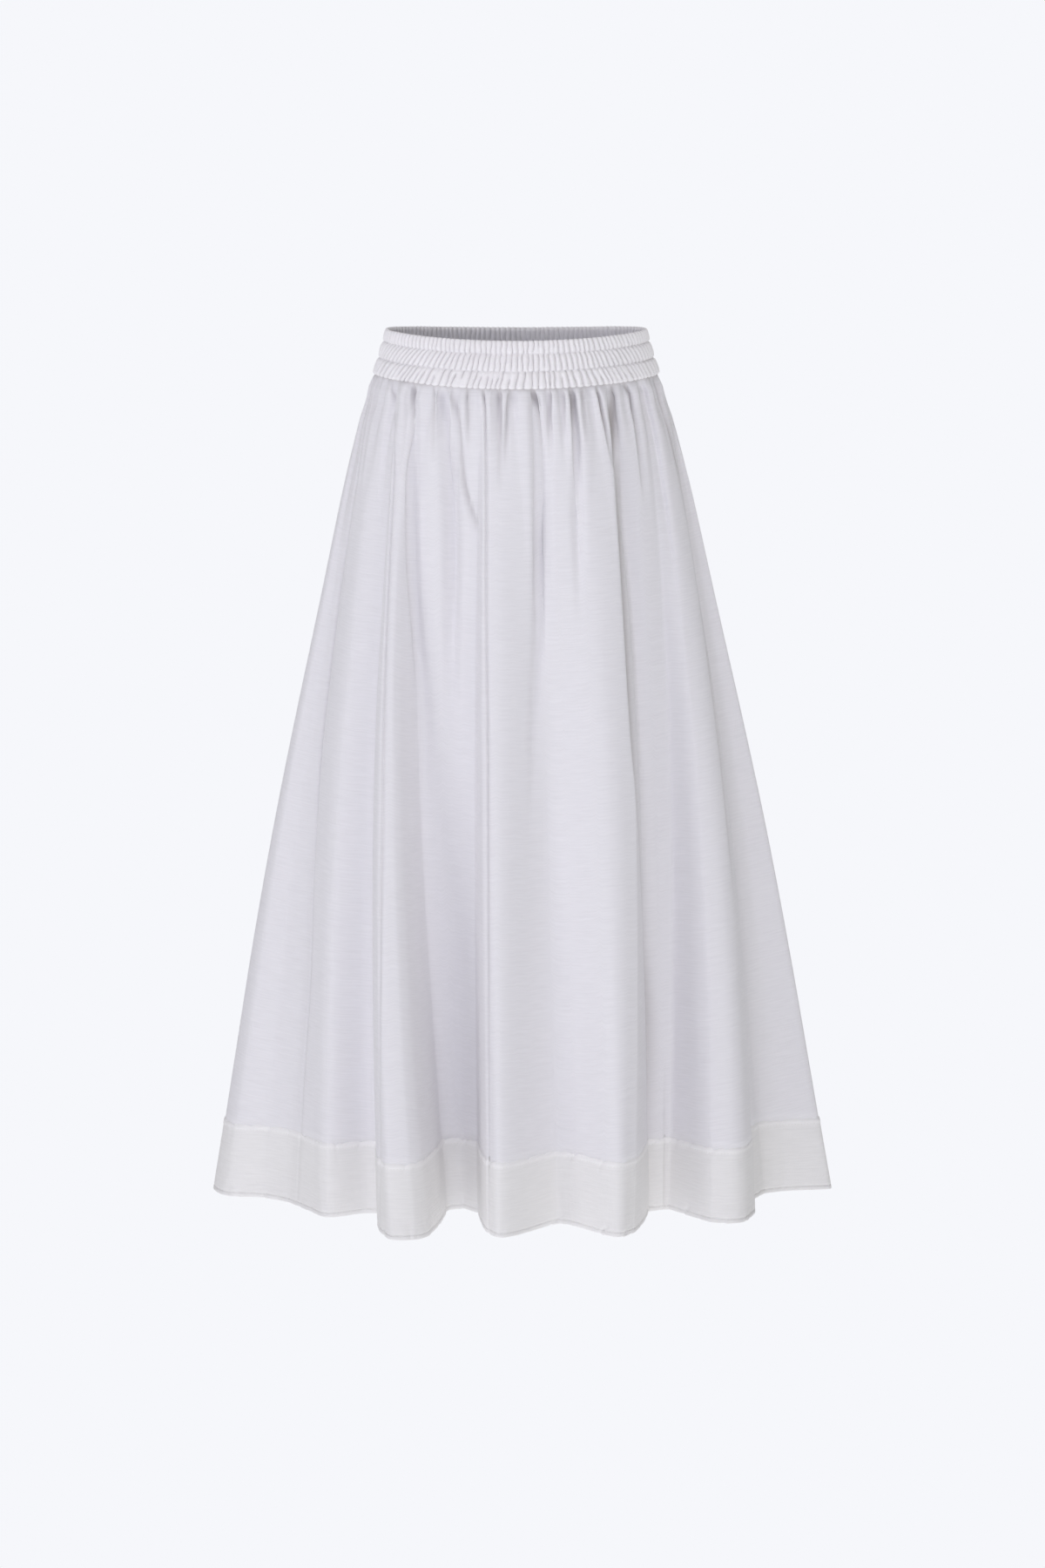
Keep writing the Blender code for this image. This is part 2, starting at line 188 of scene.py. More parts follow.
FRONT_CREASES = (
    # The line down the left flap, and the light strip before it
    crease(
        1.8, 5.0,
        (-77, 0, -1.2), (-78.5, 0.10, -2), (-80.5, 0.18, -3), (-82, 0.27, -4), (-81.6, 0.43, -4.6),
        (-80.5, 0.57, -4.6), (-79.6, 0.72, -3.6), (-79.9, 0.86, -1.2), (-79.9, 1, -0.6),
    ),
    crease(
        19.0, 4.0,
        (-81.4, 0.16, 0), (-82, 0.28, -2.4), (-81.2, 0.50, -3.6), (-79.8, 0.72, -3), (-80, 0.86, -1),
        (-80, 1, 0),
    ),
    crease(2.2, 3.0, (-84, 0, -2.2), (-83.5, 0.08, -2), (-85, 0.20, 0)),
    crease(2.2, 3.0, (-75, 0, -2.6), (-74.7, 0.07, -1.6), (-74, 0.12, 0)),
    # The first fold: a fine line down its left edge, and the valley to its right
    crease(
        1.4, 2.2,
        (-60, 0, -2.6), (-52, 0.06, -2), (-49.2, 0.12, -2.2), (-47.8, 0.31, -2.6), (-47.4, 0.48, -2.2),
        (-48.2, 0.69, -2.2), (-49.4, 0.86, -2), (-50.4, 1, -1),
    ),
    crease(1.2, 1.6, (-46.6, 0, -5.2), (-46, 0.025, -5), (-44.6, 0.06, -2.4), (-44, 0.10, 0)),
    crease(
        4.2, 7.5,
        (-45, 0, -3.4), (-43.6, 0.06, -7), (-43.2, 0.12, -8.2), (-43, 0.20, -7.6), (-42, 0.29, -6.2),
        (-38.6, 0.39, -3.4), (-39, 0.54, 0),
    ),
    crease(4.5, 4.0, (-51, 0, 1.6), (-47, 0.08, 2.2), (-46.2, 0.26, 1.8), (-46, 0.45, 0)),
    crease(6.0, 6.0, (-69, 0, -2.6), (-68, 0.06, -2), (-67, 0.15, 0)),
    # Between the first fold and the middle
    crease(1.8, 3.0, (-36, 0, -5.2), (-34.8, 0.03, -4), (-33.5, 0.09, 0)),
    crease(
        7.0, 7.8,
        (-31.6, 0, -8), (-28.2, 0.06, -12.6), (-26.4, 0.12, -15), (-25.8, 0.20, -14.6),
        (-26.2, 0.29, -10.4), (-26.5, 0.44, 0),
    ),
    crease(
        3.6, 2.4,
        (-26.4, 0, -3.4), (-22.6, 0.05, -3.8), (-20, 0.11, -4.8), (-16.4, 0.145, -4.4), (-12, 0.175, 0),
    ),
    crease(2.0, 3.0, (-19.6, 0, -6), (-19, 0.025, -4.6), (-18.4, 0.07, 0)),
    # The line down the left edge of the middle fold
    crease(
        1.4, 1.8,
        (-13.4, 0, -5.2), (-12.2, 0.03, -3.4), (-11.2, 0.10, -2.4), (-10.9, 0.28, -2.4),
        (-10.4, 0.40, -2.6), (-10.6, 0.59, -2.8), (-11.2, 0.80, -2.6), (-11.8, 1, -1.2),
    ),
    # The gathers of the middle and third folds
    crease(2.0, 3.4, (-7.2, 0, -6.2), (-6.8, 0.04, -4.6), (-5.8, 0.12, 0)),
    crease(2.2, 3.0, (-2, 0, -5.6), (-3.2, 0.03, -4.6), (-4.6, 0.10, 0)),
    crease(1.3, 2.4, (6.4, 0, -6.4), (7.4, 0.03, -8), (7.6, 0.06, -7), (7.5, 0.09, -3), (7.3, 0.12, 0)),
    crease(
        5.0, 7.4,
        (9, 0, -2), (8.6, 0.05, -9.2), (8.2, 0.09, -14.4), (7.9, 0.13, -15), (7, 0.20, -12.2),
        (6, 0.28, -7), (3.8, 0.38, -3.6), (1.9, 0.52, 0),
    ),
    crease(1.2, 2.0, (13.2, 0, -6.4), (12.8, 0.03, -3.6), (12.4, 0.06, -1.2), (12.2, 0.085, 0)),
    crease(1.8, 2.6, (18.4, 0, -5), (18.3, 0.02, -3.6), (18, 0.06, 0)),
    crease(1.3, 2.0, (22.6, 0, -5), (21.8, 0.045, -7), (21.4, 0.08, -4), (21.2, 0.12, 0)),
    crease(
        4.6, 4.8,
        (23, 0, -1), (22.6, 0.05, -3.6), (21.6, 0.10, -5.6), (20.8, 0.15, -5.4), (20, 0.28, 0),
    ),
    crease(2.2, 3.4, (27.2, 0, -6), (27, 0.02, -4.6), (26.6, 0.07, 0)),
    crease(1.8, 1.8, (33.8, 0, -6.6), (34.8, 0.028, -5.8), (36, 0.062, -4), (37.4, 0.10, 0)),
    # The deep line between the third and fourth folds
    crease(3.0, 5.6, (41.4, 0, -6.6), (39.8, 0.06, -9.6), (39.4, 0.12, -6), (39.3, 0.20, 0)),
    crease(
        3.0, 11.0,
        (39.8, 0.06, 0), (39.4, 0.12, -6.8), (39.3, 0.20, -13.6), (39.4, 0.30, -12.8),
        (39.7, 0.42, -10.4), (40.4, 0.54, -7.6), (41, 0.66, -5.6), (41.8, 0.80, -3.4), (42, 0.90, -1.2),
        (42, 1, 0),
    ),
    crease(
        4.0, 10.0,
        (43, 0, -1), (42.4, 0.06, -3.6), (42.8, 0.12, -7.4), (43, 0.20, -10), (43, 0.30, -8.4),
        (43, 0.42, -5.6), (43.2, 0.60, -3), (43.4, 0.90, 0),
    ),
    # The fourth fold's gathers
    crease(1.8, 3.4, (49.4, 0, -6.6), (51, 0.02, -6.2), (52, 0.07, -4.2), (52.6, 0.14, 0)),
    crease(4.8, 5.2, (62, 0, -7), (62.6, 0.06, -5.8), (63.2, 0.14, -4.6), (64, 0.30, 0)),
    crease(2.6, 4.0, (76.4, 0, -5), (76.8, 0.05, -4), (78, 0.12, -2.4), (79, 0.20, 0)),
    crease(2.2, 3.0, (70, 0, -3.4), (69.4, 0.03, -2.2), (68.6, 0.06, 0)),
    crease(5.0, 8.0, (84.6, 0.05, 0), (85, 0.12, -4), (85, 0.30, -4), (84.4, 0.55, 0)),
    # The line down the right flap, close to the skirt's edge
    crease(
        3.0, 6.0,
        (78, 0.04, 0), (78.4, 0.09, -11.6), (79.8, 0.18, -12.4), (79.8, 0.27, -10.8), (78.8, 0.38, -7),
        (78.2, 0.50, -3.6), (77.6, 0.62, 0),
    ),
    # A fine press line low on the fourth fold
    crease(1.4, 2.6, (55, 0.80, 0), (55.5, 0.90, -1.6), (56, 1, -1.4)),
)
BACK_CREASES = (
    crease(6.0, 2.4, (97, 0, -3.3), (98.5, 0.07, -3.6), (100, 0.22, -2), (101, 0.42, 0)),
    crease(2.2, 3.0, (103.5, 0, -3.9), (103, 0.03, -2.7), (102, 0.07, 0)),
    crease(
        6.2, 1.6,
        (110.5, 0, -6), (109, 0.06, -6), (108.6, 0.16, -3.9), (109.4, 0.30, -2.2), (110.6, 0.55, -1.5),
        (111, 0.80, 0),
    ),
    crease(3.4, 1.8, (118, 0, -3.9), (119.2, 0.04, -2.7), (119.8, 0.09, 0)),
    crease(
        2.0, 6.6,
        (127, 0, -6.3), (126, 0.08, -7.2), (126.4, 0.20, -5.5), (127.4, 0.40, -4.7),
        (127.2, 0.62, -3.7), (127.6, 0.85, -2.8), (127.8, 1, -1),
    ),
    crease(2.0, 2.6, (132, 0, -3), (131.4, 0.03, -2.1), (131, 0.06, 0)),
    crease(
        2.6, 1.8,
        (140.6, 0, -2.7), (140.9, 0.12, -2.4), (141.2, 0.35, -2.2), (140.8, 0.66, -2), (141.4, 1, -0.7),
    ),
    crease(4.0, 2.0, (146, 0, -4.5), (146.8, 0.05, -3.9), (148.6, 0.13, 0)),
    crease(5.6, 5.6, (153, 0, -2.7), (152.4, 0.08, -2.7), (151.6, 0.24, 0)),
    crease(
        6.0, 1.5,
        (160, 0, -6), (159, 0.06, -5.4), (160, 0.16, -3.6), (161.6, 0.30, -2), (162.6, 0.46, 0),
    ),
    crease(1.6, 3.0, (166.4, 0, -3.6), (166, 0.03, -2.4), (165.6, 0.06, 0)),
    crease(3.0, 1.6, (174, 0, -4.8), (174.6, 0.04, -3.3), (175, 0.09, 0)),
    crease(2.2, 4.0, (181, 0, -3.3), (180, 0.05, -2.7), (178.4, 0.12, 0)),
    crease(
        6.4, 1.8,
        (191, 0, -6.6), (190.2, 0.07, -7.5), (190, 0.18, -6.9), (190.6, 0.38, -5), (190.2, 0.60, -4),
        (190.4, 0.84, -3), (190.6, 1, -1),
    ),
    crease(1.8, 2.8, (196.6, 0, -3.6), (196.2, 0.03, -2.7), (195.4, 0.07, 0)),
    crease(3.4, 2.4, (201, 0, -3.3), (203, 0.06, -3.3), (205.6, 0.12, -2.4), (207.4, 0.16, 0)),
    crease(
        1.8, 2.6,
        (208, 0, -2.7), (208.3, 0.14, -2.4), (208.6, 0.36, -2.2), (208.2, 0.64, -2), (208.8, 1, -0.7),
    ),
    crease(1.8, 5.0, (214, 0, -5.1), (213, 0.05, -4.2), (212.2, 0.14, -2.1), (212, 0.26, 0)),
    crease(2.4, 2.4, (222, 0, -3.9), (222.6, 0.03, -2.4), (223, 0.06, 0)),
    crease(
        1.6, 6.0,
        (229, 0, -5.7), (230.2, 0.07, -5.4), (231, 0.18, -4.2), (230.6, 0.34, -2.2), (231.4, 0.52, 0),
    ),
    crease(5.0, 5.0, (239, 0, -3), (239.8, 0.06, -2.7), (241, 0.18, 0)),
    crease(2.2, 3.4, (247, 0, -4.2), (246, 0.04, -3), (245, 0.10, 0)),
    crease(
        6.0, 2.6,
        (256, 0, -3), (257.4, 0.10, -3.9), (258.6, 0.26, -3.2), (258, 0.55, -3), (258.8, 0.80, -2.2),
        (259, 1, -0.7),
    ),
    crease(4.0, 4.0, (264, 0, -2.1), (264.6, 0.06, -1.8), (265.6, 0.18, 0)),
)

# Where the fine lines run down the whole skirt, so that the cloth has more columns there
FRONT_LINES = (-80.5, -48.6, -45.0, -11.0, 7.2, 13.2, 21.4, 34.5, 39.6, 50.4, 80.6)
BACK_LINES = (109.6, 118.8, 127.0, 141.0, 147.0, 160.0, 174.2, 190.3, 208.4, 230.2)
LINE_REACH = 1.6  # degrees to each side
LINE_SHARE = 0.030  # the share of the columns that each line has to itself

# Painted shade: tight furrows take on a darker tone, standing in for the shade where cloth faces cloth
SHARP_CREASE = 0.0031  # a crease that is narrower than this on one side is a furrow
FURROW_DEPTH = 0.0125  # a furrow this deep is at its darkest
PAINTED_SHADE_COLOUR = (0.40, 0.37, 0.36)

# The soft unevenness of the cloth: many slight hollows and rises, longer than wide
HOLLOWS = 90
HOLLOW_HEIGHT = 0.00055
HOLLOW_SLANT = 0.06
HOLLOW_LONG = (0.03, 0.14)  # in drops
HOLLOW_WIDE = (0.006, 0.020)
HOLLOW_REACH = 2.5  # lengths up and down within which a hollow counts

# Short puckers along a seam: how far apart and how uneven they are, how much they slant, and how wide,
# long and deep they are
Pucker = namedtuple("Pucker", "spacing uneven slant width reach depth")
SEAM_PUCKERS = Pucker(0.0065, 0.5, 0.03, 0.0022, (0.012, 0.050), 0.0018)
HEM_PUCKERS = Pucker(0.016, 0.7, 0.4, 0.0022, (0.006, 0.016), 0.0013)
EDGE_PUCKERS = Pucker(0.024, 0.8, 0.8, 0.0028, (0.005, 0.014), 0.0019)
PUCKER_FADE = 1.3

# Narrow lines along a seam: how strong each is in its middle, and how wide. A groove's strength is its
# depth and a shade's is how much painted shade of the furrows' tone the cloth takes on.
Line = namedtuple("Line", "strength width")
SEAM_GROOVE = Line(0.0020, 0.0016)
# painted shade under the waistband's lower edge
SEAM_SHADE = Line(0.50, 0.0022)
STRIP_GROOVE = Line(0.0002, 0.0006)
STITCH_GROOVE = Line(0.0008, 0.0009)
# painted shade along the hem's stitched groove
STITCH_SHADE = Line(0.09, 0.0008)

# The three channels of the waistband: where each starts and ends as a share of the band's height, how
# many ruches it has, how high they stand, how uneven they are, and how many of them run only part of
# the way
Channel = namedtuple("Channel", "top bottom ruches height uneven partial")
CHANNELS = rows_of(
    Channel,
    (0.00, 0.28, 132, 0.0036, 0.24, 0.04),
    (0.28, 0.64, 124, 0.0040, 0.18, 0.02),
    (0.64, 1.00, 110, 0.0044, 0.55, 0.16),
)

# How far the ruches lean in each channel, as millimetres round for each millimetre down, by turn
Lean = namedtuple("Lean", "turn first second third")
LEANS = rows_of(
    Lean,
    (-180.0, 0.0, 0.1, 0.0),
    (-90.0, -0.10, -0.60, -0.50),
    (-60.0, -0.10, -0.90, -0.70),
    (-25.0, 0.0, -0.30, -0.25),
    (0.0, 0.0, -0.05, -0.15),
    (25.0, 0.10, 0.10, 0.15),
    (60.0, 0.40, 0.55, 0.45),
    (90.0, 0.20, 0.40, 0.30),
    (180.0, 0.0, 0.1, 0.0),
)

# The band's outer side and its inner side, from the rim down: how far each stands out of the straight
# side between the rim and the waist seam
Puff = namedtuple("Puff", "share out")
BAND_OUTSIDE = rows_of(
    Puff,
    (0.00, -0.0006), (0.03, 0.0002), (0.14, 0.0003), (0.25, -0.0006), (0.28, -0.0030),
    (0.31, -0.0006), (0.46, 0.0002), (0.61, -0.0004), (0.64, -0.0028), (0.67, 0.0000), (0.84, 0.0009),
    (0.96, 0.0010), (1.00, -0.0010),
)
BAND_INSIDE = rows_of(
    Puff,
    (1.00, -0.0045), (0.64, -0.0052), (0.28, -0.0050), (0.14, -0.0042), (0.02, -0.0034),
    (0.00, -0.0024),
)
STITCHED_HALF_WIDTH = 0.14  # about where its sewn lines run
STITCHED_HALF_DEPTH = 0.10
RUCHE_SEED = 40
RUCHE_ROUNDNESS = 0.7
RUCHE_STEPS = (-0.6, 0.8)  # how the steps between uneven ruches differ
RUCHE_STRENGTHS = (0.88, 1.10)
RUCHE_WOBBLE = 0.0006
RUCHE_LEVEL = 0.85  # the strength that lies on the band's outer side
INSIDE_LEVEL = 0.6
EDGE_LEVEL = 0.75
INSIDE_RUCHE = 0.0016
EDGE_RUCHE = 0.0014  # how far the ruches make the rim and the lower edge uneven
PINCHED_RUCHE = 0.45  # the share of their height that they keep at a sewn line
LAST_RUCHE = 0.6  # and at the waist seam
PARTIAL_BEGINS = (0.15, 0.6)  # where a ruche that runs only part of the way may begin
PARTIAL_ENDS = (0.4, 0.85)
PARTIAL_DEPTH = 0.35  # the share of its furrow's depth that is left beyond
# Painted shade between the ruches: how far their furrows take on the dark tone, the ruche height that
# gets none, and how much deeper it is at the sides
RUCHE_PAINTED_SHADE = 0.38
UNSHADED_RUCHE = 0.7  # no tone on ruches this high
SIDE_PAINTED_SHADE = 1.2  # how much deeper that tone is at the sides
SIDE_RUCHES = 0.55  # how much wider apart the ruches are at the sides than at the front
BAND_COLUMNS = 1700
BAND_OUTSIDE_ROWS = 38
BAND_INSIDE_ROWS = 14

PANEL_COLUMNS = 500
PANEL_TOP_ROWS = 38  # in the first part of the drop, where the gathers are
PANEL_TOP_DROP = 0.13
PANEL_ROWS = 98
SPREAD_DROP = 0.02  # the drop that stands for the waist seam when the columns are shared out
SPREAD_SHARES = (0.42, 0.58)  # how much the seam's length and the hem's count for that

HEM_COLUMNS = 900
HEM_OUTSIDE_ROWS = 36
HEM_STRIP_ROWS = 11
HEM_EDGE_ROWS = 16
HEM_EDGE = 0.009  # the part above the lower fold that those rows cover
HEM_INSIDE_ROWS = 8
HEM_LENGTH = 1.27
HEM_START = -0.0015  # how far down from the seam the outer layer starts
HEM_PROUD = 0.0008
HEM_THICKNESS = 0.0022
HEM_FOLD_ANGLES = (30.0, 60.0, 90.0, 120.0, 150.0)
SEAM_STRIP = 0.0070  # the raised strip along the top of the hem band
STRIP_RISE = 0.0004
STRIP_SLOPE = 0.0012
STRIP_LINE = 0.0010  # how far its groove lies above its lower edge
JOIN_DEPTH = 0.0008  # how far the band's top edge is pressed under the panel
JOIN_REACH = (-0.0002, 0.0040)
HEM_STITCH = 0.0045  # how far above the lower fold its stitches run

STITCH_LENGTH = 0.0024
STITCH_GAP = 0.0009
STITCH_RADIUS = 0.00028
STITCH_LIFT = 0.0001

CAMERA_PLACE = (0.0063, -5.0, 0.378)
CAMERA_TILT = 9.3  # degrees below level
CAMERA_LENS = 114.68
FLOOR_HEIGHT = -1.35
FLOOR_HALF = 400.0
FLOOR_GLOW = (0.922, 0.930, 0.965)
WORLD_COLOUR = (0.98, 0.98, 1.0)
WORLD_STRENGTH = 0.14

# Square area lights
Light = namedtuple("Light", "name place aim size power colour")
LIGHTS = rows_of(
    Light,
    ("key", (-0.5, -4.6, 1.3), (0.0, 0.0, -0.40), 1.6, 33.0, (0.90, 0.90, 1.0)),
    ("left", (-4.2, -2.8, 0.8), (0.0, 0.0, -0.50), 2.0, 47.0, (0.96, 0.95, 1.0)),
    ("fill", (2.4, -4.3, -0.6), (0.0, 0.0, -0.80), 2.4, 28.0, (1.0, 0.985, 0.96)),
    ("near", (-0.8, -2.7, 0.6), (0.0, 0.0, -0.15), 1.2, 2.6, (0.35, 0.45, 1.0)),
    ("low", (-0.1, -2.6, -1.2), (0.0, 0.0, -0.80), 0.7, 4.2, (0.97, 0.97, 1.0)),
    ("back", (0.6, 4.4, 1.2), (0.0, 0.0, -0.40), 2.2, 34.0, (0.97, 0.97, 1.0)),
    ("top", (0.0, -0.4, 3.4), (0.0, 0.0, 0.0), 2.6, 44.0, (1.0, 0.98, 0.98)),
)


def mix(start, end, share):
    return start + (end - start) * share


def smooth(at, low, high):
    """0 below low, 1 above high and an even curve between them."""
    share = np.clip((at - low) / (high - low), 0.0, 1.0)
    return share * share * (3.0 - 2.0 * share)


def follow(places, values, at, level_ends=False):
    """A smooth curve through the values, with no overshoot, read at every place in an array."""
    places, values, at = np.asarray(places, float), np.asarray(values, float), np.asarray(at, float)
    slopes = np.diff(values) / np.diff(places)
    tangents = np.zeros(len(places))
    product, total = slopes[:-1] * slopes[1:], slopes[:-1] + slopes[1:]
    turning = product > 0
    tangents[1:-1][turning] = 2 * product[turning] / total[turning]
    if not level_ends:
        tangents[0], tangents[-1] = slopes[0], slopes[-1]
    i = np.clip(np.searchsorted(places, at) - 1, 0, len(places) - 2)
    step = places[i + 1] - places[i]
    s = np.clip((at - places[i]) / step, 0.0, 1.0)
    return (
        values[i] * (1 + 2 * s) * (1 - s) ** 2
        + values[i + 1] * s * s * (3 - 2 * s)
        + step * s * (1 - s) * (tangents[i] * (1 - s) - tangents[i + 1] * s)
    )


def read(table, column, at, level_ends=False):
    """One column of a table, followed by its first column."""
    return follow([row[0] for row in table], [getattr(row, column) for row in table], at, level_ends)


def ellipse_places(turns, half_width, half_depth):
    angles = np.radians(turns)
    x, y = half_width * np.sin(angles), -half_depth * np.cos(angles)
    return np.stack([x, y, np.zeros_like(x)], axis=-1)


def ellipse_outward(turns, half_width, half_depth):
    angles = np.radians(turns)
    x, y = np.sin(angles) / half_width, -np.cos(angles) / half_depth
    length = np.hypot(x, y)
    return np.stack([x / length, y / length, np.zeros_like(x)], axis=-1)


def front_and_back(turns):
    """1 at the middle of the front and of the back, 0 at the sides."""
    return np.cos(np.radians(turns)) ** 2


def seam_height(turns):
    return SEAM_HEIGHT - SEAM_DIP * front_and_back(turns)


def outward_normals(places):
    """The outward direction at each point of a grid of rows down and columns round."""
    normals = np.cross(np.gradient(places, axis=0), np.gradient(places, axis=1))
    return normals / np.linalg.norm(normals, axis=2, keepdims=True)


def lengths_along(places, axis):
    """How far along the cloth each point of a grid lies, from its first row or column."""
    steps = np.linalg.norm(np.diff(places, axis=axis), axis=2)
    start = np.zeros_like(np.take(steps, [0], axis=axis))
    return np.concatenate([start, np.cumsum(steps, axis=axis)], axis=axis)


class Cloth:
    """Half of the skirt's cloth as a surface of a seam turn and a drop, on the form of its solids."""

    def __init__(self, folds, gathers, creases, lines, seed):
        self.seam_turns = [line.seam_turn for line in folds]
        self.hem_turns = [line.hem_turn for line in folds]
        self.depths = [line.depth for line in folds]
        self.furrows = np.array([gather.turn for gather in gathers])
        self.reaches = [gather.reach for gather in gathers]
        self.creases = creases
        self.lines = lines
        self.seed = seed

    def gather(self, turns, drops):
        reach = follow(self.furrows, self.reaches, turns)
        fade = np.clip(1.0 - drops / reach, 0.0, 1.0) ** GATHER_FADE
        pressed = np.clip(1.0 - drops / TUCK_REACH, 0.0, 1.0)
        phase = np.interp(turns, self.furrows, np.arange(len(self.furrows)))
        furrow = np.abs(phase - np.round(phase)) / GATHER_WIDTH
        wave = 0.5 - np.exp(-furrow * furrow)
        return GATHER_DEPTH * fade * mix(1.0, SEAM_GATHER, pressed) * wave - TUCK * pressed

    def form(self, turns, drops):
        """The places of a grid with a column for each seam turn and a row for each drop."""
        turns, heights = np.meshgrid(turns, drops)
        drops = np.clip(heights, 0.0, 1.0)
        widening = read(FLARES, "widening", drops)
        hem_turns = follow(self.seam_turns, self.hem_turns, turns)
        depths = follow(self.seam_turns, self.depths, turns, level_ends=True) * drops**FOLD_GROWTH
        now = mix(turns, hem_turns, widening)
        half_width = mix(SEAM_HALF_WIDTH, HEM_HALF_WIDTH, widening)
        half_depth = mix(SEAM_HALF_DEPTH, HEM_HALF_DEPTH, widening)
        out = self.gather(turns, drops) - depths
        places = ellipse_places(now, half_width, half_depth)
        places += ellipse_outward(now, half_width, half_depth) * out[..., None]
        places[..., 0] += HEM_SHIFT * drops
        places[..., 2] = mix(seam_height(turns), HEM_HEIGHT, heights)
        return places

    def spread(self, columns):
        """Seam turns that share out the cloth's length at the waist seam and at the hem."""
        turns = np.linspace(self.furrows[0], self.furrows[-1], 4001)
        shares = np.zeros(len(turns))
        for drop, weight in zip((SPREAD_DROP, 1.0), SPREAD_SHARES):
            along = lengths_along(self.form(turns, [drop]), 1)[0]
            shares += weight * along / along[-1]
        shares *= 1.0 - LINE_SHARE * len(self.lines)
        for line in self.lines:
            shares += LINE_SHARE * smooth(turns, line - LINE_REACH, line + LINE_REACH)
        return np.interp(np.linspace(0.0, 1.0, columns), shares, turns)

    def relief(self, turns, drops, along):
        """How far the creases stand out of the form, and how much painted shade each point takes on
        inside a tight furrow.
        """
        height = np.zeros((len(drops), len(turns)))
        furrow = np.zeros_like(height)
        for line in self.creases:
            path_turns, path_drops, path_heights = zip(*line.path)
            middles = follow(path_drops, path_turns, drops)
            tall = follow(path_drops, path_heights, drops)
            sharp = min(line.left, line.right) < SHARP_CREASE
            for row in np.nonzero((drops >= path_drops[0]) & (drops <= path_drops[-1]))[0]:
                away = along[row] - np.interp(middles[row], turns, along[row])
                away = np.where(away < 0, away / line.left, away / line.right)
                curve = np.exp(-away * away)
                height[row] += tall[row] * curve
                if sharp:
                    # Painted shade in tight furrows, fullest where the crease is deepest
                    furrow[row] = np.maximum(furrow[row], min(-tall[row] / FURROW_DEPTH, 1.0) * curve)
        return height + self.hollows(drops, along), furrow

    def hollows(self, drops, along):
        draw = np.random.default_rng(self.seed + 100)
        height = np.zeros_like(along)
        share = along / along[:, -1:]
        for _ in range(HOLLOWS):
            place, drop = draw.uniform(0.0, 1.0), draw.uniform(0.02, 1.02)
            slant, tall = draw.uniform(-HOLLOW_SLANT, HOLLOW_SLANT), draw.uniform(-1.0, 1.0)
            long, wide = draw.uniform(*HOLLOW_LONG), draw.uniform(*HOLLOW_WIDE)
            rows = np.abs(drops - drop) < HOLLOW_REACH * long
            down = (drops[rows] - drop)[:, None]
            away = (share[rows] - place - slant * down) * along[rows, -1:] / wide
            height[rows] += HOLLOW_HEIGHT * tall * np.exp(-away * away - (down / long) ** 2)
        return height

    def places(self, turns, drops, proud=0.0, extra=None):
        places = self.form(turns, drops)
        along = lengths_along(places, 1)
        height, furrow = self.relief(turns, np.clip(drops, 0.0, 1.0), along)
        if extra is not None:
            height += extra(drops, along)
        held = 1.0 - smooth(drops, 0.0, SEAM_HOLD)[:, None]
        height = mix(height, np.maximum(height, -SEAM_REACH), held)
        return places + outward_normals(places) * (height + proud)[..., None], furrow


def across(line, away):
    """How strong a narrow line is at a distance from its middle."""
    return line.strength * np.exp(-((away / line.width) ** 2))


def draw_puckers(length, kind, seed):
    """Uneven places along a seam, with a strength and a slant for each."""
    draw = np.random.default_rng(seed)
    count = int(length / kind.spacing)
    steps = draw.uniform(1.0 - kind.uneven, 1.0 + kind.uneven, count)
    places = np.cumsum(steps) / steps.sum() * length
    return places, draw.uniform(0.3, 1.0, count), draw.uniform(-1.0, 1.0, count)


def press_puckers(height, kind, drawn, from_seam, along):
    """Presses puckers into the cloth's height, next to a seam."""
    for place, strength, slant in zip(*drawn):
        away = (along - place - slant * kind.slant * from_seam) / kind.width
        reach = np.exp(-((from_seam / mix(*kind.reach, strength)) ** 2))
        height -= kind.depth * strength * reach * np.exp(-away * away)


def ruche_heights(furrows, strengths, depths, at):
    """Rounded ruches between sharp furrows. Where a furrow is shallow, its two ruches run together."""
    i = np.clip(np.searchsorted(furrows, at) - 1, 0, len(furrows) - 2)
    share = np.clip((at - furrows[i]) / (furrows[i + 1] - furrows[i]), 0.0, 1.0)
    dome = np.clip(4.0 * share * (1.0 - share), 0.0, 1.0) ** RUCHE_ROUNDNESS
    depth = mix(depths[i], depths[i + 1], share)
    return mix(strengths[i], strengths[i + 1], share) * (1.0 - depth * (1.0 - dome))


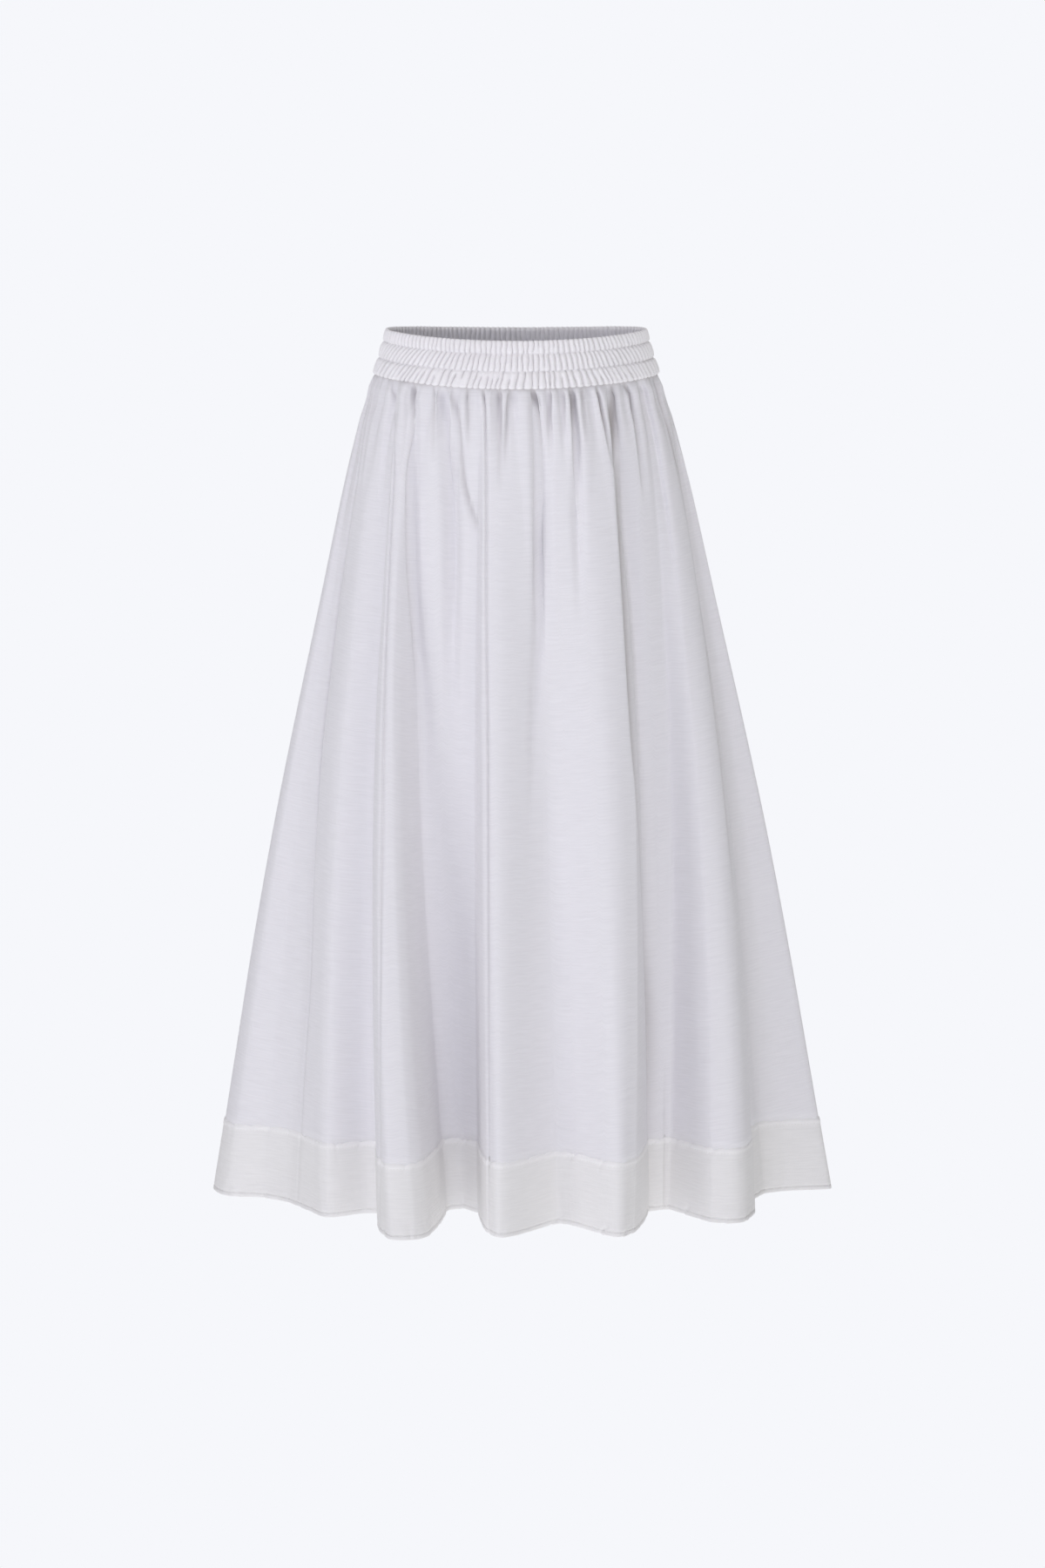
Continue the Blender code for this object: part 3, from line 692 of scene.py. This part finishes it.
def cotton(name, light, dark, slub, weave_pitch, sheen=0.12, strip=None):
    """White plain-weave cotton: fine threads, an uneven slub round the skirt and a little unevenness."""
    material = bpy.data.materials.new(name)
    material.use_nodes = True
    nodes, links = material.node_tree.nodes, material.node_tree.links
    shader = nodes["Principled BSDF"]
    shader.inputs["Roughness"].default_value = 0.88
    shader.inputs["Specular IOR Level"].default_value = 0.25
    shader.inputs["Sheen Weight"].default_value = sheen
    shader.inputs["Sheen Roughness"].default_value = 0.5
    metres = nodes.new("ShaderNodeUVMap")
    metres.uv_map = "Cloth"

    def slub_threads(scale_round, scale_down, detail):
        mapping = nodes.new("ShaderNodeMapping")
        mapping.inputs["Scale"].default_value = (scale_round, scale_down, 1.0)
        links.new(metres.outputs["UV"], mapping.inputs["Vector"])
        texture = nodes.new("ShaderNodeTexNoise")
        texture.inputs["Scale"].default_value = 1.0
        texture.inputs["Detail"].default_value = detail
        texture.inputs["Roughness"].default_value = 0.6
        links.new(mapping.outputs["Vector"], texture.inputs["Vector"])
        return texture.outputs["Fac"]

    def threads(direction):
        wave = nodes.new("ShaderNodeTexWave")
        wave.bands_direction = direction
        wave.inputs["Scale"].default_value = 2 * math.pi / (20 * weave_pitch)
        wave.inputs["Distortion"].default_value = 0.6
        wave.inputs["Detail"].default_value = 1.0
        wave.inputs["Detail Scale"].default_value = 0.4
        links.new(metres.outputs["UV"], wave.inputs["Vector"])
        return wave.outputs["Fac"]

    def raised(height, distance, strength, before=None):
        bump = nodes.new("ShaderNodeBump")
        bump.inputs["Distance"].default_value = distance
        bump.inputs["Strength"].default_value = strength
        links.new(height, bump.inputs["Height"])
        if before is not None:
            links.new(before, bump.inputs["Normal"])
        return bump.outputs["Normal"]

    weft_slub = slub_threads(scale_round=38.0, scale_down=620.0, detail=3.0)
    warp_slub = slub_threads(scale_round=700.0, scale_down=30.0, detail=2.0)
    normal = raised(threads("X"), distance=0.00010, strength=0.30)
    normal = raised(threads("Y"), distance=0.00010, strength=0.30, before=normal)
    normal = raised(warp_slub, distance=0.0003, strength=0.25 * slub, before=normal)
    normal = raised(weft_slub, distance=0.0005, strength=0.45 * slub, before=normal)
    links.new(normal, shader.inputs["Normal"])

    tone = nodes.new("ShaderNodeValToRGB")
    tone.color_ramp.elements[0].position = 0.30
    tone.color_ramp.elements[1].position = 0.70
    tone.color_ramp.elements[0].color = (*dark, 1.0)
    tone.color_ramp.elements[1].color = (*light, 1.0)
    links.new(weft_slub, tone.inputs["Fac"])

    def towards(colour, other, attribute):
        """The colour, going over to another one as the cloth's attribute rises."""
        blend = nodes.new("ShaderNodeMix")
        blend.data_type = "RGBA"
        amount = nodes.new("ShaderNodeAttribute")
        amount.attribute_name = attribute
        links.new(amount.outputs["Fac"], blend.inputs["Factor"])
        links.new(colour, blend.inputs["A"])
        blend.inputs["B"].default_value = (*other, 1.0)
        return blend.outputs["Result"]

    # Painted shade: the colour goes over to a dark tone inside tight furrows and along seams
    colour = towards(tone.outputs["Color"], PAINTED_SHADE_COLOUR, "Furrow")
    if strip is not None:
        colour = towards(colour, strip, "Layers")
    links.new(colour, shader.inputs["Base Color"])
    return material


def cloth_grid(places, layers=None, furrow=None):
    """A grid of cloth with the point of each row and column at its place, and a UV map in metres.

    Layers says for each row how much whiter the cloth is where more layers lie on each other, and furrow
    says for each point how much painted shade it takes on inside a tight furrow or along a seam.
    """
    rows, columns = places.shape[:2]
    along = lengths_along(places, 1)
    down = lengths_along(places, 0)
    middle = along[:, columns // 2, None]
    mesh = bmesh.new()
    bmesh.ops.create_grid(mesh, x_segments=columns - 1, y_segments=rows - 1, size=1.0)
    metres = mesh.loops.layers.uv.new("Cloth")
    mesh.verts.index_update()
    spots = []
    for corner in mesh.verts:
        column = round((corner.co.x + 1) / 2 * (columns - 1))
        row = round((corner.co.y + 1) / 2 * (rows - 1))
        spots.append((row, column))
    uv = np.stack([along - middle, -down], axis=-1)
    for face in mesh.faces:
        for loop in face.loops:
            loop[metres].uv = uv[spots[loop.vert.index]]
    thick = mesh.verts.layers.float.new("Layers")
    # A layer for the painted shade of tight furrows, ruches and seams
    inside = mesh.verts.layers.float.new("Furrow")
    for corner, spot in zip(mesh.verts, spots):
        corner.co = places[spot]
        corner[thick] = 0.0 if layers is None else layers[spot[0]]
        corner[inside] = 0.0 if furrow is None else furrow[spot]
    return mesh


def add_piece(name, mesh, material):
    data = bpy.data.meshes.new(name)
    mesh.to_mesh(data)
    mesh.free()
    data.shade_smooth()
    data.materials.append(material)
    piece = bpy.data.objects.new(name, data)
    bpy.context.scene.collection.objects.link(piece)
    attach(piece, "root")
    return piece


def add_stitches(name, lines, material):
    """Short stitches along lines of points that lie on the cloth."""
    one = bmesh.new()
    bmesh.ops.create_uvsphere(one, u_segments=6, v_segments=4, radius=1.0)
    stitch = bpy.data.meshes.new("stitch")
    one.to_mesh(stitch)
    one.free()
    mesh = bmesh.new()
    for line in lines:
        steps = np.linalg.norm(np.diff(line, axis=0), axis=1)
        along = np.concatenate([[0.0], np.cumsum(steps)])
        for start in np.arange(STITCH_GAP / 2, along[-1] - STITCH_LENGTH, STITCH_LENGTH + STITCH_GAP):
            ends = [
                Vector([np.interp(at, along, line[:, axis]) for axis in range(3)])
                for at in (start, start + STITCH_LENGTH)
            ]
            run = ends[1] - ends[0]
            turned = run.to_track_quat("X", "Z").to_matrix().to_4x4()
            size = Matrix.Diagonal((run.length / 2, STITCH_RADIUS, STITCH_RADIUS, 1.0))
            laid = stitch.copy()
            laid.transform(Matrix.Translation((ends[0] + ends[1]) / 2) @ turned @ size)
            mesh.from_mesh(laid)
            bpy.data.meshes.remove(laid)
    bpy.data.meshes.remove(stitch)
    return add_piece(name, mesh, material)


Ruches = namedtuple("Ruches", "furrows strengths begins ends wobbles")


def draw_ruches():
    """Where each channel's furrows lie, how strong its ruches are, and where some of them run out."""
    turns = np.linspace(-180.0, 180.0, 721)
    crowd = 1.0 - SIDE_RUCHES * (1.0 - np.abs(np.cos(np.radians(turns))))
    crowded = np.concatenate([[0.0], np.cumsum(crowd[1:] + crowd[:-1])])
    crowded /= crowded[-1]
    drawn = []
    for number, channel in enumerate(CHANNELS):
        count = channel.ruches
        draw = np.random.default_rng(RUCHE_SEED + number)
        steps = 1.0 + channel.uneven * draw.uniform(*RUCHE_STEPS, count)
        even = np.linspace(0.0, 1.0, len(crowded))
        furrows = np.interp(np.cumsum(steps) / steps.sum(), crowded, even)
        strengths = draw.uniform(*RUCHE_STRENGTHS, count)
        partial = draw.random(count) < channel.partial
        begins = np.where(partial, draw.uniform(*PARTIAL_BEGINS, count), -1.0)
        partial = draw.random(count) < channel.partial
        ends = np.where(partial, draw.uniform(*PARTIAL_ENDS, count), 2.0)
        wobbles = draw.uniform(-RUCHE_WOBBLE, RUCHE_WOBBLE, count)
        drawn.append(Ruches(furrows, strengths, begins, ends, wobbles))
    return drawn


def ruches_at(share, number, drawn, turns):
    """How high a channel's ruches are all round the band, in the row at a share of its height."""
    channel = CHANNELS[number]
    around = 2 * math.pi * math.hypot(SEAM_HALF_WIDTH, SEAM_HALF_DEPTH) / math.sqrt(2)
    within = (share - channel.top) / (channel.bottom - channel.top)
    lean = read(LEANS, Lean._fields[1 + number], mix(-180.0, 180.0, drawn.furrows))
    slide = lean * (within - 0.5) * (channel.bottom - channel.top) * (RIM_HEIGHT - SEAM_HEIGHT)
    furrows = drawn.furrows + (slide + drawn.wobbles * np.sin(6 * within)) / around
    begun = smooth(within, drawn.begins - 0.15, drawn.begins + 0.05)
    depths = begun * (1.0 - smooth(within, drawn.ends - 0.05, drawn.ends + 0.15))
    furrows = np.concatenate([furrows[-2:] - 1.0, furrows, furrows[:2] + 1.0])
    depths = np.concatenate([depths[-2:], depths, depths[:2]])
    strengths = np.concatenate([drawn.strengths[-2:], drawn.strengths, drawn.strengths[:2]])
    return ruche_heights(furrows, strengths, mix(PARTIAL_DEPTH, 1.0, depths), (turns + 180.0) / 360.0)


def close_loop(grid):
    """A grid with its first row and its first column once more at its end."""
    grid = np.concatenate([grid, grid[:1]], axis=0)
    return np.concatenate([grid, grid[:, :1]], axis=1)


def waistband(material):
    """The ruched tube, its outer side and its inner side in one closed loop of rows."""
    turns = np.linspace(-180.0, 180.0, BAND_COLUMNS + 1)[:-1]
    outside = np.linspace(0.0, 1.0, BAND_OUTSIDE_ROWS)
    inside = np.linspace(1.0, 0.0, BAND_INSIDE_ROWS)
    shares = np.concatenate([outside, inside])
    outs = np.concatenate([read(BAND_OUTSIDE, "out", outside), read(BAND_INSIDE[::-1], "out", inside)])
    places = np.zeros((len(shares), BAND_COLUMNS, 3))
    furrow = np.zeros((len(shares), BAND_COLUMNS))
    drawn = draw_ruches()
    sides = 1.0 + SIDE_PAINTED_SHADE * np.sin(np.radians(turns)) ** 8
    for row, (share, out) in enumerate(zip(shares, outs)):
        number = 0 if share < CHANNELS[0].bottom else 1 if share < CHANNELS[1].bottom else 2
        channel = CHANNELS[number]
        within = (share - channel.top) / (channel.bottom - channel.top)
        ruches = ruches_at(share, number, drawn[number], turns)
        # Painted shade in the furrows between the ruches, deeper at the sides
        furrow[row] = RUCHE_PAINTED_SHADE * sides * np.clip(1.0 - ruches / UNSHADED_RUCHE, 0.0, 1.0)
        if row < BAND_OUTSIDE_ROWS:
            pinch = np.sin(math.pi * min(max(within, 0.0), 1.0)) ** 0.5
            height = channel.height * mix(PINCHED_RUCHE, 1.0, pinch) * (ruches - RUCHE_LEVEL)
            if share > 0.99:
                height = height * LAST_RUCHE
        else:
            height = -INSIDE_RUCHE * (ruches - INSIDE_LEVEL)
        half_width = mix(RIM_HALF_WIDTH, SEAM_HALF_WIDTH, share)
        half_depth = mix(RIM_HALF_DEPTH, SEAM_HALF_DEPTH, share)
        places[row] = ellipse_places(turns, half_width, half_depth)
        places[row] += ellipse_outward(turns, half_width, half_depth) * (out + height)[:, None]
        rim = RIM_HEIGHT - RIM_DIP * front_and_back(turns)
        places[row, :, 2] = mix(rim, seam_height(turns), share)
        if share in (0.0, 1.0) and row < BAND_OUTSIDE_ROWS:
            places[row, :, 2] += EDGE_RUCHE * (ruches - EDGE_LEVEL) * (1 if share == 0.0 else -1)
    mesh = cloth_grid(close_loop(places), furrow=close_loop(furrow))
    bmesh.ops.remove_doubles(mesh, verts=mesh.verts, dist=1e-6)
    bmesh.ops.reverse_faces(mesh, faces=mesh.faces)
    piece = add_piece("ruched_waistband", mesh, material)
    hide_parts("waistband")
    outward = ellipse_outward(np.append(turns, turns[0]), STITCHED_HALF_WIDTH, STITCHED_HALF_DEPTH)
    lines = []
    for channel in CHANNELS[:2]:
        row = int(round(channel.bottom * (BAND_OUTSIDE_ROWS - 1)))
        line = np.concatenate([places[row], places[row, :1]])
        lines.append(line + outward * STITCH_LIFT)
    stitches = add_stitches("waistband_stitches", lines, material)


def panel(name, node, cloth, material):
    turns = cloth.spread(PANEL_COLUMNS)
    top = -OVERLAP / LENGTH
    bottom = 1.0 - (HEM_BAND - HEM_OVERLAP) / LENGTH
    drops = np.concatenate([
        np.linspace(top, PANEL_TOP_DROP, PANEL_TOP_ROWS, endpoint=False),
        np.linspace(PANEL_TOP_DROP, bottom, PANEL_ROWS - PANEL_TOP_ROWS),
    ])
    seam_length = lengths_along(cloth.form(turns, [SPREAD_DROP]), 1)[0, -1]
    tucks = draw_puckers(seam_length, SEAM_PUCKERS, cloth.seed)

    def seam_puckers(drops, along):
        """Short uneven tucks that spread from the waist seam between the larger gathers."""
        share = along / along[:, -1:]
        down = (np.maximum(drops, 0.0) * LENGTH)[:, None]
        height = np.zeros_like(along) - across(SEAM_GROOVE, down)
        for place, strength, slant in zip(*tucks):
            reach = mix(*SEAM_PUCKERS.reach, strength * strength) / LENGTH
            fade = np.clip(1.0 - drops / reach, 0.0, 1.0)[:, None] ** PUCKER_FADE
            rows = fade[:, 0] > 0
            drift = slant * SEAM_PUCKERS.slant * np.clip(drops[rows], 0, 1)[:, None]
            away = (share[rows] - place / seam_length - drift) * seam_length / SEAM_PUCKERS.width
            height[rows] -= SEAM_PUCKERS.depth * strength * fade[rows] * np.exp(-away * away)
        return height

    places, furrow = cloth.places(turns, drops, extra=seam_puckers)
    # Painted shade just under the waistband
    under_band = across(SEAM_SHADE, np.maximum(drops, 0.0) * LENGTH)
    furrow = np.maximum(furrow, under_band[:, None])
    mesh = cloth_grid(places, furrow=furrow)
    bmesh.ops.reverse_faces(mesh, faces=mesh.faces)
    piece = add_piece(name, mesh, material)
    give_wall(piece, CLOTH_WALL)
    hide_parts(node)


def give_wall(piece, wall):
    """Thickens a sheet inwards."""
    solidify = piece.modifiers.new("Wall", "SOLIDIFY")
    solidify.thickness = wall
    solidify.offset = -1.0
    solidify.use_even_offset = False


def hem_band(name, node, cloth, material):
    """The double band: its outer layer, its lower fold and its inner layer in one closed loop of rows."""
    turns = cloth.spread(HEM_COLUMNS)
    top = 1.0 - HEM_BAND / LENGTH
    half = HEM_THICKNESS / 2
    strip_end = SEAM_STRIP * 1.6
    middle_rows = HEM_OUTSIDE_ROWS - HEM_EDGE_ROWS - HEM_STRIP_ROWS
    outside = np.concatenate([
        np.linspace(HEM_START, strip_end, HEM_STRIP_ROWS, endpoint=False),
        np.linspace(strip_end, HEM_BAND - HEM_EDGE, middle_rows, endpoint=False),
        np.linspace(HEM_BAND - HEM_EDGE, HEM_BAND - half, HEM_EDGE_ROWS),
    ])
    drops = top + outside / LENGTH
    seam_tucks = draw_puckers(HEM_LENGTH, HEM_PUCKERS, cloth.seed + 5)
    edge_tucks = draw_puckers(HEM_LENGTH, EDGE_PUCKERS, cloth.seed + 6)

    def seams(drops, along):
        """The raised seam strip, its two sewn lines, and the puckers at both edges."""
        down = ((drops - top) * LENGTH)[:, None]
        strip = STRIP_RISE * (1.0 - smooth(down, SEAM_STRIP - STRIP_SLOPE, SEAM_STRIP + STRIP_SLOPE))
        strip = strip - (HEM_PROUD + JOIN_DEPTH) * (1.0 - smooth(down, *JOIN_REACH))
        strip = strip - across(STRIP_GROOVE, down - SEAM_STRIP + STRIP_LINE)
        strip = strip - across(STITCH_GROOVE, HEM_BAND - HEM_STITCH - down)
        height = strip + np.zeros_like(along)
        press_puckers(height, HEM_PUCKERS, seam_tucks, down, along)
        press_puckers(height, EDGE_PUCKERS, edge_tucks, HEM_BAND - down, along)
        return height

    outer, outer_furrow = cloth.places(turns, drops, proud=HEM_PROUD, extra=seams)
    normals = outward_normals(outer)
    fold = []
    for angle in HEM_FOLD_ANGLES:
        inward = half * (1.0 - math.cos(math.radians(angle)))
        below = half * math.sin(math.radians(angle))
        row = outer[-1] - normals[-1] * inward
        row[:, 2] -= below
        fold.append(row)
    inner_drops = np.linspace(drops[-1], drops[0], HEM_INSIDE_ROWS)
    inner, _ = cloth.places(turns, inner_drops, proud=HEM_PROUD)
    inner = inner - outward_normals(inner[::-1])[::-1] * HEM_THICKNESS
    places = np.concatenate([outer, np.array(fold), inner, outer[:1]], axis=0)
    layers = np.zeros(len(places))
    layers[: len(outside)] = 1.0 - smooth(outside, SEAM_STRIP - 0.0005, SEAM_STRIP + 0.0010)
    furrow = np.zeros(places.shape[:2])
    # Painted shade along the stitched groove
    stitched = across(STITCH_SHADE, HEM_BAND - HEM_STITCH - outside)
    furrow[: len(outside)] = np.maximum(outer_furrow, stitched[:, None])
    mesh = cloth_grid(places, layers, furrow)
    bmesh.ops.remove_doubles(mesh, verts=mesh.verts, dist=1e-7)
    bmesh.ops.reverse_faces(mesh, faces=mesh.faces)
    open_edges = [edge for edge in mesh.edges if edge.is_boundary]
    bmesh.ops.holes_fill(mesh, edges=open_edges, sides=0)
    piece = add_piece(name, mesh, material)
    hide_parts(node)
    lines = []
    for down in (SEAM_STRIP, HEM_BAND - HEM_STITCH):
        row = int(np.argmin(np.abs(outside - down)))
        lines.append(outer[row] + normals[row] * STITCH_LIFT)
    stitches = add_stitches(name + "_stitches", lines, material)


def camera():
    data = bpy.data.cameras.new("camera")
    data.sensor_width = 36.0
    data.lens = CAMERA_LENS
    data.clip_end = 2000.0
    item = bpy.data.objects.new("camera", data)
    item.location = CAMERA_PLACE
    item.rotation_euler = (math.radians(90.0 - CAMERA_TILT), 0.0, 0.0)
    bpy.context.scene.collection.objects.link(item)
    bpy.context.scene.camera = item


def floor():
    material = bpy.data.materials.new("pale floor")
    material.use_nodes = True
    shader = material.node_tree.nodes["Principled BSDF"]
    shader.inputs["Base Color"].default_value = (0.0, 0.0, 0.0, 1.0)
    shader.inputs["Roughness"].default_value = 1.0
    shader.inputs["Specular IOR Level"].default_value = 0.0
    shader.inputs["Emission Color"].default_value = (*FLOOR_GLOW, 1.0)
    shader.inputs["Emission Strength"].default_value = 1.0
    mesh = bmesh.new()
    bmesh.ops.create_grid(mesh, x_segments=2, y_segments=2, size=FLOOR_HALF)
    bmesh.ops.translate(mesh, verts=mesh.verts, vec=(0.0, 0.0, FLOOR_HEIGHT))
    data = bpy.data.meshes.new("floor")
    mesh.to_mesh(data)
    mesh.free()
    data.materials.append(material)
    item = bpy.data.objects.new("floor", data)
    bpy.context.scene.collection.objects.link(item)


def soft_light(light):
    data = bpy.data.lights.new(light.name, "AREA")
    data.shape = "RECTANGLE"
    data.size = data.size_y = light.size
    data.energy = light.power
    data.color = light.colour
    item = bpy.data.objects.new(light.name, data)
    item.location = light.place
    item.rotation_euler = (Vector(light.aim) - Vector(light.place)).to_track_quat("-Z", "Y").to_euler()
    bpy.context.scene.collection.objects.link(item)


def studio():
    scene = bpy.context.scene
    scene.view_settings.view_transform = "Standard"
    world = bpy.data.worlds.new("studio")
    world.use_nodes = True
    background = world.node_tree.nodes["Background"]
    background.inputs["Color"].default_value = (*WORLD_COLOUR, 1.0)
    background.inputs["Strength"].default_value = WORLD_STRENGTH
    scene.world = world
    for light in LIGHTS:
        soft_light(light)
    camera()
    floor()


skirt_cotton = cotton(
    "white cotton", light=(0.868, 0.853, 0.872), dark=(0.818, 0.803, 0.822), slub=1.0, weave_pitch=0.00055
)
# The band's cotton is the same white cotton with a lighter base colour: painted light that stands in for
# more light on the band
waist_cotton_painted_lighter = cotton(
    "ruched cotton", light=(0.965, 0.945, 0.952), dark=(0.93, 0.91, 0.917), slub=0.5,
    weave_pitch=0.00050, sheen=0.30,
)
hem_cotton = cotton(
    "double cotton", light=(0.885, 0.872, 0.862), dark=(0.835, 0.822, 0.812), slub=0.9,
    weave_pitch=0.00055, strip=(0.918, 0.905, 0.898),
)

front = Cloth(FRONT_FOLDS, FRONT_GATHERS, FRONT_CREASES, FRONT_LINES, seed=11)
back = Cloth(BACK_FOLDS, BACK_GATHERS, BACK_CREASES, BACK_LINES, seed=23)
panel("gathered_front", "front_panel", front, skirt_cotton)
panel("gathered_back", "back_panel", back, skirt_cotton)
hem_band("double_hem_front", "hem_band_front", front, hem_cotton)
hem_band("double_hem_back", "hem_band_back", back, hem_cotton)
waistband(waist_cotton_painted_lighter)
studio()

bpy.context.view_layer.update()
